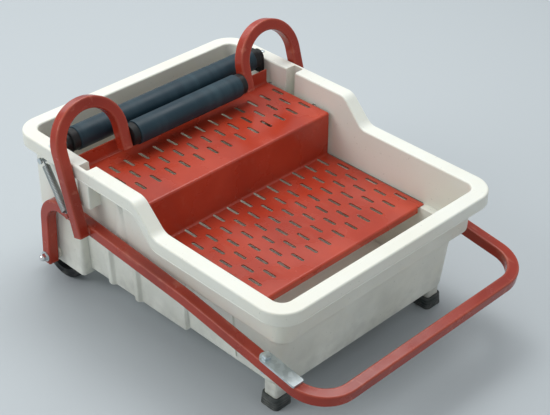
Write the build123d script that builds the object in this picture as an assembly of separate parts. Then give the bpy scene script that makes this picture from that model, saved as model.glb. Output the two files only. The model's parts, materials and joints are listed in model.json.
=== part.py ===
from build123d import *
import os
from math import atan2, cos, pi, radians, sin, sqrt

# Foot-operated wringing tray. A moulded tub stands on two rubber feet and two wheels. A folded and
# slotted step plate lies in it. One roller turns on the tub, a second one hangs from a sprung pedal
# frame of bent square tube that pivots on the wheel axles.
# Millimetres. +Z is up, +Y is the rear, the floor is Z = 0 and the origin lies under the middle of
# the box round the whole object. Paired pieces are made on the right and mirrored to the left.

# Tub: rim
rim_length = 640.0
rim_width = 500.0
rim_flat = 26.0
rim_corner = 45.0
rim_plate = 4.0
rim_rounding = 3.0
low_rim = 242.0
rim_step = 47.0
slope_foot = 280.0
slope_run = 45.0
slope_radius = 25.0
lip_drop = 22.0
lip_wall = 3.0

# Tub: walls and floor
wall = 3.5
upper_draft = 4.5
ledge_top = 163.0
ledge_width = 15.0
ledge_rounding = 6.0
lower_draft = 9.0
lower_corner = 30.0
tub_bottom = 48.0
floor_rounding = 8.0
rib_width = 5.0
rib_height = 2.5
rib_places = (150.0, 262.0, 374.0)
rib_margin = 14.0
shelf_post_width = 6.0
shelf_post_reach = 16.0
shelf_post_margins = (42.0, 4.0)
niche_from_rear = 175.0
niche_length = 22.0
niche_depth = 20.5
niche_drop = 67.0

# Wheel housings
housing_length = 137.0
housing_width = 40.5
housing_proud = 4.0
housing_bottom = 39.0
housing_rounding = 7.0
wheel_slot_clear = 12.0
axle_boss_radius = 15.0
axle_boss_depth = 9.0

# Front feet
foot_inset = 68.0
foot_back = 78.0
leg_size = 28.0
leg_corner = 5.0
boot_wall = 3.5
boot_floor = 4.0
boot_height = 22.0
boot_flare = 1.5
boot_fit = 0.2

# Step plate
sheet = 2.0
sheet_bend = 4.0
plate_side_gap = 4.5
plate_front = 125.0
plate_flange = 10.0
flange_inset = 15.0
riser_place = 350.0
shelf_below_rim = 40.0
shelf_flange_from_rear = 133.0
shelf_flange_height = 26.0
slot_length = 28.0
slot_width = 5.0
slot_pitch = 31.4
slot_row_pitch = 33.6
slot_edge = 7.0
lower_slots_from_riser = 1.0
shelf_slots_from_riser = 36.0

# Rollers
roller_radius = 21.0
roller_rubber = 3.5
roller_core_wall = 2.0
roller_rounding = 1.5
roller_shaft_radius = 6.0
running_gap = 0.05
cap_radius = 19.0
cap_plug_length = 16.0
cap_flange = 13.0
cap_rounding = 2.0
end_play = 0.5
rear_roller_from_rear = 105.0
rear_roller_above_rim = 1.0
bearing_thickness = 10.0
bearing_radius = 14.0
bearing_foot = 26.0
bearing_wall_gap = 2.0
arm_lip_gap = 2.0
bearing_arm_width = 26.0
bearing_arm_height = 10.0
bearing_screw_out = 15.0
bearing_screw_back = 8.0
screw_radius = 2.3
screw_head_radius = 4.5
screw_head_height = 2.4
screw_grip = 8.0

# Pedal frame of square tube
tube = 20.0
tube_wall = 1.75
tube_corner = 2.5
side_tube_inset = 8.0
pedal_reach = 86.0
pedal_height = 121.0
pedal_corner = 59.0
knee_place = 215.0
knee_height = 161.5
knee_radius = 500.0
rear_slope = 0.0667
elbow_radius = 46.0
pivot_from_rear = 65.0
pivot_height = 57.0
elbow_below_pivot = 12.0
end_cap = 1.5

# Goosenecks
arch_radius = 61.5
neck_lean = 16.0
neck_foot_from_rear = 192.0
neck_foot_drop = 7.0
arch_above_rim = 20.9
neck_inner_drop = 38.0
front_roller_above_end = 16.0

# Axles, bushes and wheels
axle_radius = 6.0
axle_end_radius = 4.0
bush_wall = 2.5
bush_flange_radius = 13.0
bush_fit = 0.05
face_gap = 0.4
washer_radius = 9.5
washer_thickness = 1.6
nut_flats = 13.0
nut_height = 6.5
nut_dome = 5.0
wheel_half_width = 13.5
wheel_side_gap = 0.6
tyre_depth = 12.0
tyre_rounding = 5.0
hub_rim = 5.0
hub_web = 6.0
hub_boss_radius = 14.0

# Return springs
wire_radius = 1.2
coil_radius = 5.6
coil_pitch = 3.4
coil_lead = 7.0
coil_stops = 3
hook_lead = 3.6
hook_turn = 235.0
hook_fit = 0.6
spring_off_tube = 2.0
spring_bolt_radius = 3.0
spring_bolt_from_rear = 74.0
spring_bolt_below_rim = 35.0
spring_bolt_past = 7.0
spring_bolt_flats = 10.0
spring_bolt_head = 4.0
spring_nut_height = 5.0
peg_from_rear = 160.0
peg_rise = 4.5
peg_reach = 7.0
peg_head_radius = 4.6
peg_head = 2.0
ear_thickness = 3.0
ear_radius = 7.0

# Pedal catch on the left side tube
catch_length = 78.0
catch_width = 22.0
catch_thickness = 4.0
catch_place = 40.0
catch_gap = 0.3
catch_corner = 3.0
catch_bolt_radius = 4.0
catch_bolt_flats = 13.0
catch_bolt_head = 5.3
catch_nut_height = 6.5

# How far a cut reaches past a face
overcut = 1.0

# Places that follow from the sizes above
front_edge = (pedal_reach - rim_length) / 2
rear_edge = front_edge + rim_length
tub_mid = front_edge + rim_length / 2
high_rim = low_rim + rim_step
upper_top_inset = rim_flat - wall
upper_low_inset = upper_top_inset + upper_draft
lower_top_inset = upper_low_inset + ledge_width
upper_corner = rim_corner - upper_top_inset
plate_bottom = ledge_top
plate_top = plate_bottom + sheet
shelf_top = high_rim - shelf_below_rim
shelf_bottom = shelf_top - sheet
riser_y = front_edge + riser_place
shelf_back = rear_edge - shelf_flange_from_rear
foot_x = rim_width / 2 - foot_inset
housing_outer_x = rim_width / 2 - upper_low_inset + housing_proud
housing_inner_x = housing_outer_x - housing_width
housing_front = rear_edge - housing_length
housing_rear = rear_edge - upper_low_inset
well_outer_x = housing_outer_x - wall
well_inner_x = housing_inner_x + wall
pivot_y = rear_edge - pivot_from_rear
wheel_radius = pivot_height
wheel_slot_height = 2 * wheel_radius + wheel_slot_clear
wheel_x = (well_outer_x + well_inner_x) / 2
half_tube = tube / 2
side_tube_x = rim_width / 2 - side_tube_inset
frame_outer_x = side_tube_x + half_tube
frame_inner_x = side_tube_x - half_tube
neck_outer_x = frame_outer_x + half_tube
neck_inner_x = neck_outer_x - 2 * arch_radius
lean = radians(neck_lean)
lean_up = Vector(0, sin(lean), cos(lean))
knee_y = front_edge + knee_place
bar_slope = atan2(knee_height - pedal_height, knee_place + pedal_reach - half_tube)
bar_half_depth = (half_tube - tube_corner) * (cos(bar_slope) + sin(bar_slope)) + tube_corner
bar_y = front_edge - pedal_reach + bar_half_depth
pedal_slope = atan2(knee_height - pedal_height, knee_y - bar_y)
rear_roller_y = rear_edge - rear_roller_from_rear
rear_roller_height = high_rim + rear_roller_above_rim
bearing_outer_x = rim_width / 2 - rim_flat - bearing_wall_gap
bearing_inner_x = bearing_outer_x - bearing_thickness
rear_roller_half = bearing_inner_x - end_play
hook_radius = spring_bolt_radius + hook_fit + wire_radius
spring_high_x = side_tube_x - spring_off_tube
spring_low_x = frame_outer_x + ear_thickness + peg_reach
spring_bolt_y = rear_edge - spring_bolt_from_rear
spring_bolt_height = high_rim - spring_bolt_below_rim
peg_y = rear_edge - peg_from_rear


def side_tube_z(y):
    """Height of the side tube's middle behind its knee."""
    return knee_height + rear_slope * (y - knee_y)


def upper_inset(z):
    """How far the upper wall's outer face lies in from the rim's outline."""
    return upper_top_inset + upper_draft * (high_rim - z) / (high_rim - ledge_top)


def lower_inset(z):
    """How far the lower wall's outer face lies in from the rim's outline."""
    return lower_top_inset + lower_draft * (ledge_top - z) / (ledge_top - tub_bottom)


peg_z = side_tube_z(peg_y) + half_tube + peg_rise
elbow_drop = knee_height - rear_slope * knee_y - pivot_height
elbow_y = (pivot_y - rear_slope * elbow_drop) / (1 + rear_slope**2)
elbow_end = Vector(side_tube_x, pivot_y + rear_slope * elbow_below_pivot, pivot_height - elbow_below_pivot)
neck_foot_y = rear_edge - neck_foot_from_rear
neck_foot = Vector(neck_outer_x, neck_foot_y, side_tube_z(neck_foot_y) - neck_foot_drop)
neck_straight = (high_rim + arch_above_rim - neck_foot.Z) / cos(lean)
arch_start = neck_foot + lean_up * neck_straight
neck_end = arch_start - Vector(2 * arch_radius, 0, 0) - lean_up * neck_inner_drop
front_roller_axis = neck_end + lean_up * front_roller_above_end
front_roller_half = neck_inner_x - half_tube - end_play


def block(x0, x1, y0, y1, z0, z1):
    """Box between two corners."""
    size = (x1 - x0, y1 - y0, z1 - z0)
    return Pos((x0 + x1) / 2, (y0 + y1) / 2, (z0 + z1) / 2) * Box(*size)


def rod(radius, x0, x1, y, z):
    """Round bar along X."""
    start = Plane(origin=(x0, y, z), z_dir=(1, 0, 0))
    return start * Cylinder(radius, x1 - x0, align=(Align.CENTER, Align.CENTER, Align.MIN))


def turned(points, y, z):
    """Ring turned about a line along X, from a closed outline of (x, radius) points."""
    outline = make_face(Polyline(*points, close=True))
    return Pos(0, y, z) * revolve(outline, Axis.X)


def mirrored(shape):
    """The same piece on the left side."""
    return mirror(shape, about=Plane.YZ)


def both_sides(shape):
    """A right-hand piece and its left-hand twin as one group."""
    return Compound([*shape.solids(), *mirrored(shape).solids()])


def footprint(inset, corner, z):
    """Rounded rectangle set in from the rim's outline, at one height."""
    outline = RectangleRounded(rim_width - 2 * inset, rim_length - 2 * inset, corner)
    return Pos(0, tub_mid, z) * outline


def tier(low, high):
    """Drafted block between two footprints, each given as inset, corner and height."""
    return loft([footprint(*low), footprint(*high)], ruled=True)


def floor_edges(shape):
    """Edges round the lowest face."""
    return shape.faces().sort_by(Axis.Z)[0].edges()


def rim_line(shift):
    """Side view of the rim's top, low in front and high behind, moved up or down."""
    overrun = rim_corner
    low = low_rim + shift
    high = high_rim + shift
    return FilletPolyline(
        (front_edge - overrun, low),
        (front_edge + slope_foot, low),
        (front_edge + slope_foot + slope_run, high),
        (rear_edge + overrun, high),
        radius=slope_radius,
    )


def rim_band(top_shift, bottom_shift):
    """Everything between two copies of the rim's side view, right across the tub."""
    top = rim_line(top_shift)
    bottom = rim_line(bottom_shift)
    outline = Curve() + [top, Line(top @ 1, bottom @ 1), bottom, Line(bottom @ 0, top @ 0)]
    return extrude(Plane.YZ * make_face(outline), amount=rim_width, both=True)


def rim_block(inset):
    """Upright block under the rim's outline."""
    return extrude(footprint(inset, rim_corner - inset, 0), amount=high_rim + rim_corner)


def top_edges(shape):
    """Edges round the upward faces."""
    tops = [face for face in shape.faces() if face.normal_at().Z > 0.5]
    return [edge for face in tops for edge in face.edges()]


def within_rim(edge, inset):
    """Whether an edge's middle lies further than an inset inside the rim's outline."""
    middle = edge.center()
    across = abs(middle.X) < rim_width / 2 - inset
    return across and abs(middle.Y - tub_mid) < rim_length / 2 - inset


def rim_with_lip(inside):
    """Flat rim with its turned-down lip, rounded along both edges and open below."""
    slab = rim_block(0) & rim_band(0, -lip_drop)
    outer = ShapeList(edge for edge in top_edges(slab) if not within_rim(edge, rim_corner))
    slab = fillet(outer, rim_rounding) - inside
    inner = ShapeList(edge for edge in top_edges(slab) if within_rim(edge, rim_flat - rim_rounding))
    slab = fillet(inner, rim_rounding)
    return slab - (rim_block(lip_wall) & rim_band(-rim_plate, -2 * lip_drop))


def upper_inside():
    """Room inside the upper walls, down to the ledge."""
    low = (upper_inset(ledge_top) + wall, upper_corner - wall, ledge_top)
    high = (upper_inset(high_rim) + wall, upper_corner - wall, high_rim)
    return tier(low, high)


def lower_inside():
    """Room inside the lower walls, down to the tub's floor, clear of the wheel housings."""
    floor = tub_bottom + wall
    low = (lower_inset(floor) + wall, lower_corner - wall, floor)
    high = (lower_inset(ledge_top) + wall, lower_corner - wall, ledge_top)
    room = tier(low, high)
    room = fillet(floor_edges(room), floor_rounding - wall)
    keep = block(housing_inner_x, rim_width / 2, housing_front, rear_edge, 0, ledge_top)
    boss = rod(axle_boss_radius, housing_inner_x - axle_boss_depth, housing_inner_x, pivot_y, pivot_height)
    keep = keep + boss
    return room - keep - mirrored(keep)


def wheel_housing():
    """Outer block of the right wheel housing, up to the rim."""
    top = high_rim - rim_plate
    shape = block(housing_inner_x, housing_outer_x, housing_front, housing_rear, housing_bottom, top)
    corners = shape.edges().filter_by(Axis.Z).group_by(Axis.X)[-1]
    return fillet(corners, housing_rounding)


def wheel_well():
    """Room for the right wheel, open below and through the rear wall, with the axle's holes."""
    front = housing_front + wall
    roof = ledge_top - wall
    room = block(well_inner_x, well_outer_x, front, housing_rear - wall, 0, roof)
    slot = block(well_inner_x, well_outer_x, pivot_y, rear_edge, 0, wheel_slot_height)
    socket = well_inner_x - axle_boss_depth
    hole = rod(axle_radius + running_gap, socket, housing_outer_x + overcut, pivot_y, pivot_height)
    return room + slot + hole


def wall_ribs():
    """Upright ribs on the right lower wall."""
    shell = tier(
        (lower_inset(tub_bottom) - rib_height, lower_corner, tub_bottom),
        (lower_inset(ledge_top) - rib_height, lower_corner, ledge_top),
    )
    ribs = []
    for place in rib_places:
        y = front_edge + place
        strip = block(
            rim_width / 4, rim_width / 2, y - rib_width / 2, y + rib_width / 2,
            tub_bottom + rib_margin, ledge_top - wall,
        )
        ribs.append(strip & shell)
    return Part() + ribs


def shelf_posts():
    """Moulded posts on the right inner wall that carry the shelf's side edge."""
    outer = rim_width / 2 - upper_inset(shelf_bottom)
    inner = rim_width / 2 - upper_inset(ledge_top) - wall - shelf_post_reach
    half = shelf_post_width / 2
    posts = []
    after_riser, before_flange = shelf_post_margins
    for y in (riser_y + after_riser, shelf_back - before_flange):
        posts.append(block(inner, outer, y - half, y + half, ledge_top - wall, shelf_bottom))
    return Part() + posts


def niche(around):
    """Room of the niche in the right rim by the gooseneck, or that room with its wall around it."""
    rear = rear_edge - niche_from_rear + around
    front = rear - niche_length - 2 * around
    inner = rim_width / 2 - rim_flat - wall
    outer = rim_width / 2 - rim_flat + niche_depth + around
    top = high_rim - rim_plate if around else high_rim + overcut
    shape = block(inner, outer, front, rear, high_rim - niche_drop - around, top)
    return fillet(shape.edges().filter_by(Axis.Z).group_by(Axis.X)[-1], rim_rounding)


def front_leg():
    """Moulded leg under the right front corner, standing in its boot."""
    outline = RectangleRounded(leg_size, leg_size, leg_corner)
    place = Pos(foot_x, front_edge + foot_back, boot_floor)
    return extrude(place * outline, amount=tub_bottom + wall / 2 - boot_floor)


def bearing_window():
    """Opening in the right wall for the bearing's arm, and the hole for its screw."""
    y0, y1 = bearing_arm_span()
    top = high_rim - rim_plate
    fit = boot_fit
    window = block(
        rim_width / 2 - rim_flat - wall, rim_width / 2 - upper_top_inset + wall, y0 - fit, y1 + fit,
        top - bearing_arm_height - fit, top,
    )
    x, y = bearing_screw_place()
    hole = Pos(x, y, high_rim) * Cylinder(screw_radius + running_gap, 3 * rim_plate)
    return window + hole


def spring_bolt_hole():
    """Hole through the right wall for the spring bolt."""
    inner = rim_width / 2 - rim_flat - ledge_width
    return rod(spring_bolt_radius + running_gap, inner, rim_width / 2, spring_bolt_y, spring_bolt_height)


def tub():
    """Moulded tub: stepped walls, rim and lip, wheel housings, ribs and front legs in one piece."""
    upper = tier(
        (upper_inset(ledge_top), upper_corner, ledge_top - wall),
        (upper_inset(high_rim), upper_corner, high_rim),
    )
    upper = fillet(floor_edges(upper), ledge_rounding)
    lower = tier(
        (lower_inset(tub_bottom), lower_corner, tub_bottom),
        (lower_inset(ledge_top), lower_corner, ledge_top),
    )
    lower = fillet(floor_edges(lower), floor_rounding)
    inside = upper_inside()
    right = wheel_housing() + wall_ribs() + front_leg() + niche(wall)
    shape = upper + lower + right + mirrored(right)
    wall_top = (rim_rounding + rim_plate) / 2
    shape = shape - rim_band(high_rim, -wall_top) - inside - lower_inside()
    posts = shelf_posts()
    shape = shape + rim_with_lip(inside) + posts + mirrored(posts)
    cuts = wheel_well() + bearing_window() + spring_bolt_hole() + niche(0)
    return shape - cuts - mirrored(cuts)


def slot_rows(start, edge, half_width, first_shift):
    """Staggered rows of slots along Y, from the first row's outer end towards an edge of the sheet."""
    way = 1 if edge > start else -1
    count = int((abs(edge - start) - slot_edge - slot_length) / slot_row_pitch) + 1
    room = half_width - slot_edge - slot_width / 2
    slots = Sketch()
    for row in range(count):
        y = start + way * (slot_length / 2 + row * slot_row_pitch)
        half_step = (row + first_shift) % 2
        last = int(room / slot_pitch - half_step / 2)
        places = [(column + half_step / 2) * slot_pitch for column in range(-last - half_step, last + 1)]
        slots += [Pos(x, y) * Rectangle(slot_width, slot_length) for x in places]
    return slots


def folded(points, half_width):
    """Folded sheet across the tub, its side view given along one face, the sheet lying below it."""
    line = FilletPolyline(*points, radius=sheet_bend)
    side = make_face(offset(line, amount=sheet, side=Side.RIGHT))
    return extrude(Plane.YZ * side, amount=half_width, both=True)


def step_plate():
    """Slotted sheet folded into a lower plate, a riser and an upper shelf between the rollers."""
    half = rim_width / 2 - upper_inset(ledge_top) - wall - plate_side_gap
    front = front_edge + plate_front
    riser = riser_y
    back = shelf_back
    shape = folded(
        [
            (front, plate_top),
            (riser, plate_top),
            (riser, shelf_top),
            (back, shelf_top),
            (back, shelf_top + shelf_flange_height),
        ],
        half,
    )
    nose = folded(
        [(front, plate_bottom - plate_flange), (front, plate_top), (front + 2 * sheet_bend, plate_top)],
        half - flange_inset,
    )
    shape = shape + nose
    lower = Pos(0, 0, plate_top) * slot_rows(riser - lower_slots_from_riser, front, half, 0)
    upper = Pos(0, 0, shelf_top) * slot_rows(riser + shelf_slots_from_riser, back, half, 1)
    return shape - extrude(lower, amount=2 * sheet, both=True) - extrude(upper, amount=2 * sheet, both=True)


def roller_sleeve(half_length, y, z):
    """Rubber sleeve of a roller, with rounded ends."""
    inner = roller_radius - roller_rubber
    shape = rod(roller_radius, -half_length, half_length, y, z)
    shape = fillet(shape.edges().filter_by(GeomType.CIRCLE), roller_rounding)
    return shape - rod(inner, -half_length, half_length, y, z)


def roller_core(half_length, y, z):
    """Steel tube inside a roller's sleeve."""
    outer = roller_radius - roller_rubber
    shape = rod(outer, -half_length, half_length, y, z)
    return shape - rod(outer - roller_core_wall, -half_length, half_length, y, z)


def roller_cap(end, y, z):
    """Right end cap of a roller: a flange outside the tube, a plug in it, bored for the shaft."""
    face = end - cap_flange
    plug = roller_radius - roller_rubber - roller_core_wall
    flange = rod(cap_radius, face, end, y, z)
    flange = fillet(flange.edges().group_by(Axis.X)[-1], cap_rounding)
    shape = flange + rod(plug, face - cap_plug_length, face, y, z)
    return shape - rod(roller_shaft_radius + running_gap, face - cap_plug_length, end, y, z)


def rear_roller_shaft():
    """Fixed shaft of the rear roller, from bearing to bearing."""
    half = bearing_outer_x
    return rod(roller_shaft_radius, -half, half, rear_roller_y, rear_roller_height)


def bearing_arm_span():
    """Front and rear of the bearing's arm under the rim."""
    middle = rear_roller_y + bearing_screw_back
    return middle - bearing_arm_width / 2, middle + bearing_arm_width / 2


def bearing_screw_place():
    """Where the bearing's screw stands on the right rim."""
    return rim_width / 2 - rim_flat + bearing_screw_out, rear_roller_y + bearing_screw_back


def bearing_block():
    """Right bearing of the rear roller: an upright ear in the tub and an arm under the rim."""
    inner, outer = bearing_inner_x, bearing_outer_x
    ear = rod(bearing_radius, inner, outer, rear_roller_y, rear_roller_height)
    y0, y1 = bearing_arm_span()
    top = high_rim - rim_plate
    low = min(rear_roller_height - bearing_foot, top - bearing_arm_height)
    high = max(rear_roller_height, top)
    foot = block(inner, outer, rear_roller_y - bearing_radius, rear_roller_y + bearing_radius, low, high)
    arm_end = rim_width / 2 - lip_wall - arm_lip_gap
    arm = block(inner, arm_end, y0, y1, top - bearing_arm_height, top)
    x, y = bearing_screw_place()
    hole = Pos(x, y, top) * Cylinder(screw_radius + running_gap, 2 * screw_grip)
    bore = rod(roller_shaft_radius + running_gap, inner, outer, rear_roller_y, rear_roller_height)
    return ear + foot + arm - hole - bore


def bearing_screw():
    """Round-headed screw through the right rim into the bearing's arm."""
    x, y = bearing_screw_place()
    length = rim_plate + screw_grip
    shank = Pos(x, y, high_rim - length / 2) * Cylinder(screw_radius, length)
    head = Pos(x, y, high_rim + screw_head_height / 2) * Cylinder(screw_head_radius, screw_head_height)
    head = fillet(head.edges().group_by(Axis.Z)[-1], screw_head_height / 2)
    return shank + head


def foot_boot():
    """Rubber boot on the right front leg, a little wider at the floor."""
    inner = leg_size + 2 * boot_fit
    outer = inner + 2 * boot_wall
    place = Pos(foot_x, front_edge + foot_back)
    corner = leg_corner + boot_wall
    low = place * RectangleRounded(outer + 2 * boot_flare, outer + 2 * boot_flare, corner + boot_flare)
    high = place * Pos(0, 0, boot_height) * RectangleRounded(outer, outer, corner)
    pocket = place * Pos(0, 0, boot_floor) * RectangleRounded(inner, inner, leg_corner)
    return loft([low, high], ruled=True) - extrude(pocket, amount=boot_height)


def tube_section(inset):
    """Square tube's outline, or its bore when set in by the wall."""
    size = tube - 2 * inset
    return RectangleRounded(size, size, tube_corner - inset / 2)


def bent_tube(path, x_dir):
    """Square tube along a path, one side of its section kept along x_dir at the start."""
    start = Plane(origin=path @ 0, x_dir=x_dir, z_dir=path % 0)
    outer = sweep(start * tube_section(0), path=path)
    return outer - sweep(start * tube_section(tube_wall), path=path)


def pedal_frame():
    """One bent tube: square rear elbow, side tube, pedal bar across the front, and back again."""
    side = [
        tuple(elbow_end),
        (side_tube_x, elbow_y, side_tube_z(elbow_y)),
        (side_tube_x, knee_y, knee_height),
        (side_tube_x, bar_y, pedal_height),
    ]
    points = [(-x, y, z) for x, y, z in side] + side[::-1]
    radii = [elbow_radius, knee_radius, pedal_corner]
    path = FilletPolyline(*points, radius=radii + radii[::-1])
    shape = bent_tube(path, (1, 0, 0))
    radius = axle_radius + bush_wall + bush_fit
    bore = rod(radius, frame_inner_x - overcut, frame_outer_x + overcut, pivot_y, pivot_height)
    catch_hole = catch_place_plane() * Cylinder(catch_bolt_radius + running_gap, 3 * tube)
    return shape - bore - mirrored(bore) - catch_hole


def neck_path():
    """Line of the right gooseneck: up the outer leg, over the rim and down to the roller."""
    far = arch_start - Vector(2 * arch_radius, 0, 0)
    crown = arch_start + lean_up * arch_radius - Vector(arch_radius, 0, 0)
    arch = ThreePointArc(arch_start, crown, far)
    return Wire([Line(neck_foot, arch_start), arch, Line(far, neck_end)])


def gooseneck():
    """Bent tube on the outside of the right side tube, carrying one end of the front roller."""
    shape = bent_tube(neck_path(), (1, 0, 0))
    inner_face = neck_inner_x - half_tube
    y, z = front_roller_axis.Y, front_roller_axis.Z
    return shape - rod(roller_shaft_radius + running_gap, inner_face - overcut, neck_inner_x, y, z)


def front_roller_shaft():
    """Fixed shaft of the front roller, its ends inside the goosenecks."""
    half = neck_inner_x + half_tube - tube_wall - running_gap
    return rod(roller_shaft_radius, -half, half, front_roller_axis.Y, front_roller_axis.Z)


def end_plate(point, direction):
    """Welded plate that closes a tube's end."""
    start = Plane(origin=point, x_dir=(1, 0, 0), z_dir=direction)
    return extrude(start * tube_section(0), amount=end_cap)


def tube_end_caps():
    """Closing plates on the right elbow and on both ends of the right gooseneck."""
    return Part() + [
        end_plate(elbow_end, (0, rear_slope, -1)),
        end_plate(neck_foot, -lean_up),
        end_plate(neck_end, -lean_up),
    ]


def pivot_bush():
    """Flanged bush through the right elbow, turning on the axle."""
    flange_in = housing_outer_x + face_gap
    body = rod(axle_radius + bush_wall, flange_in, frame_outer_x, pivot_y, pivot_height)
    flange = rod(bush_flange_radius, flange_in, frame_inner_x, pivot_y, pivot_height)
    return body + flange - rod(axle_radius + running_gap, flange_in, frame_outer_x, pivot_y, pivot_height)


def axle():
    """Right stub axle, from its socket in the tub out to the nut."""
    socket = well_inner_x - axle_boss_depth + face_gap
    shoulder = frame_outer_x + face_gap
    end = shoulder + washer_thickness + nut_height
    shape = rod(axle_radius, socket, shoulder, pivot_y, pivot_height)
    return shape + rod(axle_end_radius, shoulder, end, pivot_y, pivot_height)


def axle_washer():
    """Flat washer under the right axle's nut."""
    face = frame_outer_x + face_gap
    shape = rod(washer_radius, face, face + washer_thickness, pivot_y, pivot_height)
    return shape - rod(axle_end_radius + running_gap, face, face + washer_thickness, pivot_y, pivot_height)


def hexagon(flats, x0, x1, y, z):
    """Hexagonal bar along X."""
    start = Plane(origin=(x0, y, z), z_dir=(1, 0, 0))
    return extrude(start * RegularPolygon(flats / 2, 6, major_radius=False), amount=x1 - x0)


def acorn_nut():
    """Domed nut on the end of the right axle."""
    face = frame_outer_x + face_gap + washer_thickness
    shoulder = face + nut_height
    radius = nut_flats / 2
    rise = (radius**2 - nut_dome**2) / (2 * nut_dome)
    ball = sqrt(radius**2 + rise**2)
    half_angle = atan2(radius, rise) / 2
    crown = (shoulder - rise + ball * cos(half_angle), ball * sin(half_angle))
    foot = (shoulder - nut_dome, 0)
    lines = [
        Polyline((shoulder + nut_dome, 0), foot, (shoulder - nut_dome, radius), (shoulder, radius)),
        ThreePointArc((shoulder, radius), crown, (shoulder + nut_dome, 0)),
    ]
    dome = Pos(0, pivot_y, pivot_height) * revolve(make_face(Curve() + lines), Axis.X)
    shape = hexagon(nut_flats, face, shoulder, pivot_y, pivot_height) + dome
    return shape - rod(axle_end_radius + running_gap, face, shoulder + running_gap, pivot_y, pivot_height)


def wheel_tyre():
    """Right wheel's rubber tyre with rounded shoulders."""
    shape = rod(wheel_radius, wheel_x - wheel_half_width, wheel_x + wheel_half_width, pivot_y, pivot_height)
    shape = fillet(shape.edges().filter_by(GeomType.CIRCLE), tyre_rounding)
    seat = wheel_radius - tyre_depth
    return shape - rod(seat, wheel_x - wheel_half_width, wheel_x + wheel_half_width, pivot_y, pivot_height)


def wheel_hub():
    """Right wheel's plastic centre: rim, web and a long bored boss between the well's walls."""
    seat = wheel_radius - tyre_depth
    boss = (well_outer_x - well_inner_x) / 2 - wheel_side_gap
    bore = axle_radius + running_gap
    points = [
        (-boss, bore),
        (-boss, hub_boss_radius),
        (-hub_web / 2, hub_boss_radius),
        (-hub_web / 2, seat - hub_rim),
        (-wheel_half_width, seat - hub_rim),
        (-wheel_half_width, seat),
        (wheel_half_width, seat),
        (wheel_half_width, seat - hub_rim),
        (hub_web / 2, seat - hub_rim),
        (hub_web / 2, hub_boss_radius),
        (boss, hub_boss_radius),
        (boss, bore),
    ]
    return Pos(wheel_x, 0, 0) * turned(points, pivot_y, pivot_height)


def spring_bolt():
    """Bolt through the right wall that holds the spring's upper hook behind its head."""
    inside = rim_width / 2 - upper_inset(spring_bolt_height) - wall - spring_nut_height - 2 * face_gap
    shoulder = spring_high_x + spring_bolt_past
    shank = rod(spring_bolt_radius, inside, shoulder, spring_bolt_y, spring_bolt_height)
    head = hexagon(
        spring_bolt_flats, shoulder, shoulder + spring_bolt_head, spring_bolt_y, spring_bolt_height
    )
    return shank + head


def spring_bolt_nut():
    """Nut of the right spring bolt on the wall's inner side."""
    face = rim_width / 2 - upper_inset(spring_bolt_height) - wall - face_gap
    back = face - spring_nut_height
    shape = hexagon(spring_bolt_flats, back, face, spring_bolt_y, spring_bolt_height)
    return shape - rod(spring_bolt_radius + running_gap, back, face, spring_bolt_y, spring_bolt_height)


def spring_ear():
    """Ear on the outside of the right side tube, with a headed peg for the spring's lower hook."""
    inner = frame_outer_x
    outer = inner + ear_thickness
    foot = block(inner, outer, peg_y - ear_radius, peg_y + ear_radius, side_tube_z(peg_y), peg_z)
    round_top = rod(ear_radius, inner, outer, peg_y, peg_z)
    peg_end = spring_low_x + wire_radius + peg_head
    peg = rod(spring_bolt_radius, outer, peg_end, peg_y, peg_z)
    head = rod(peg_head_radius, peg_end, peg_end + peg_head, peg_y, peg_z)
    return foot + round_top + peg + head


def biarc(p0, t0, p1, t1):
    """Two arcs that join two points smoothly along their directions, as four control points."""
    chord = p1 - p0
    both = t0 + t1
    open_turn = 2 * (1 - t0.dot(t1))
    along = chord.dot(both)
    reach = (sqrt(along**2 + open_turn * chord.dot(chord)) - along) / open_turn
    first = p0 + t0 * reach
    last = p1 - t1 * reach
    return [(p0, first, (first + last) * 0.5), ((first + last) * 0.5, last, p1)]


def arc_edge(start, corner, end):
    """Arc that leaves start towards corner and reaches end from it."""
    chord = end - start
    weight = chord.length / 2 / (corner - start).length
    middle = (start + corner * (2 * weight) + end) * (0.5 / (1 + weight))
    return ThreePointArc(start, middle, end)


def hook_edges(centre, out, along):
    """Open hook round a peg: the straight tip and the turn that ends on the spring's own line."""
    turn = radians(hook_turn)

    def at(angle):
        return centre + out * (hook_radius * cos(angle)) - along * (hook_radius * sin(angle))

    tip = at(turn)
    away = out * (-sin(turn)) - along * cos(turn)
    straight = Line(tip + away * (2 * wire_radius), tip)
    return [straight, ThreePointArc(tip, at(turn / 2), at(0))]


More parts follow.
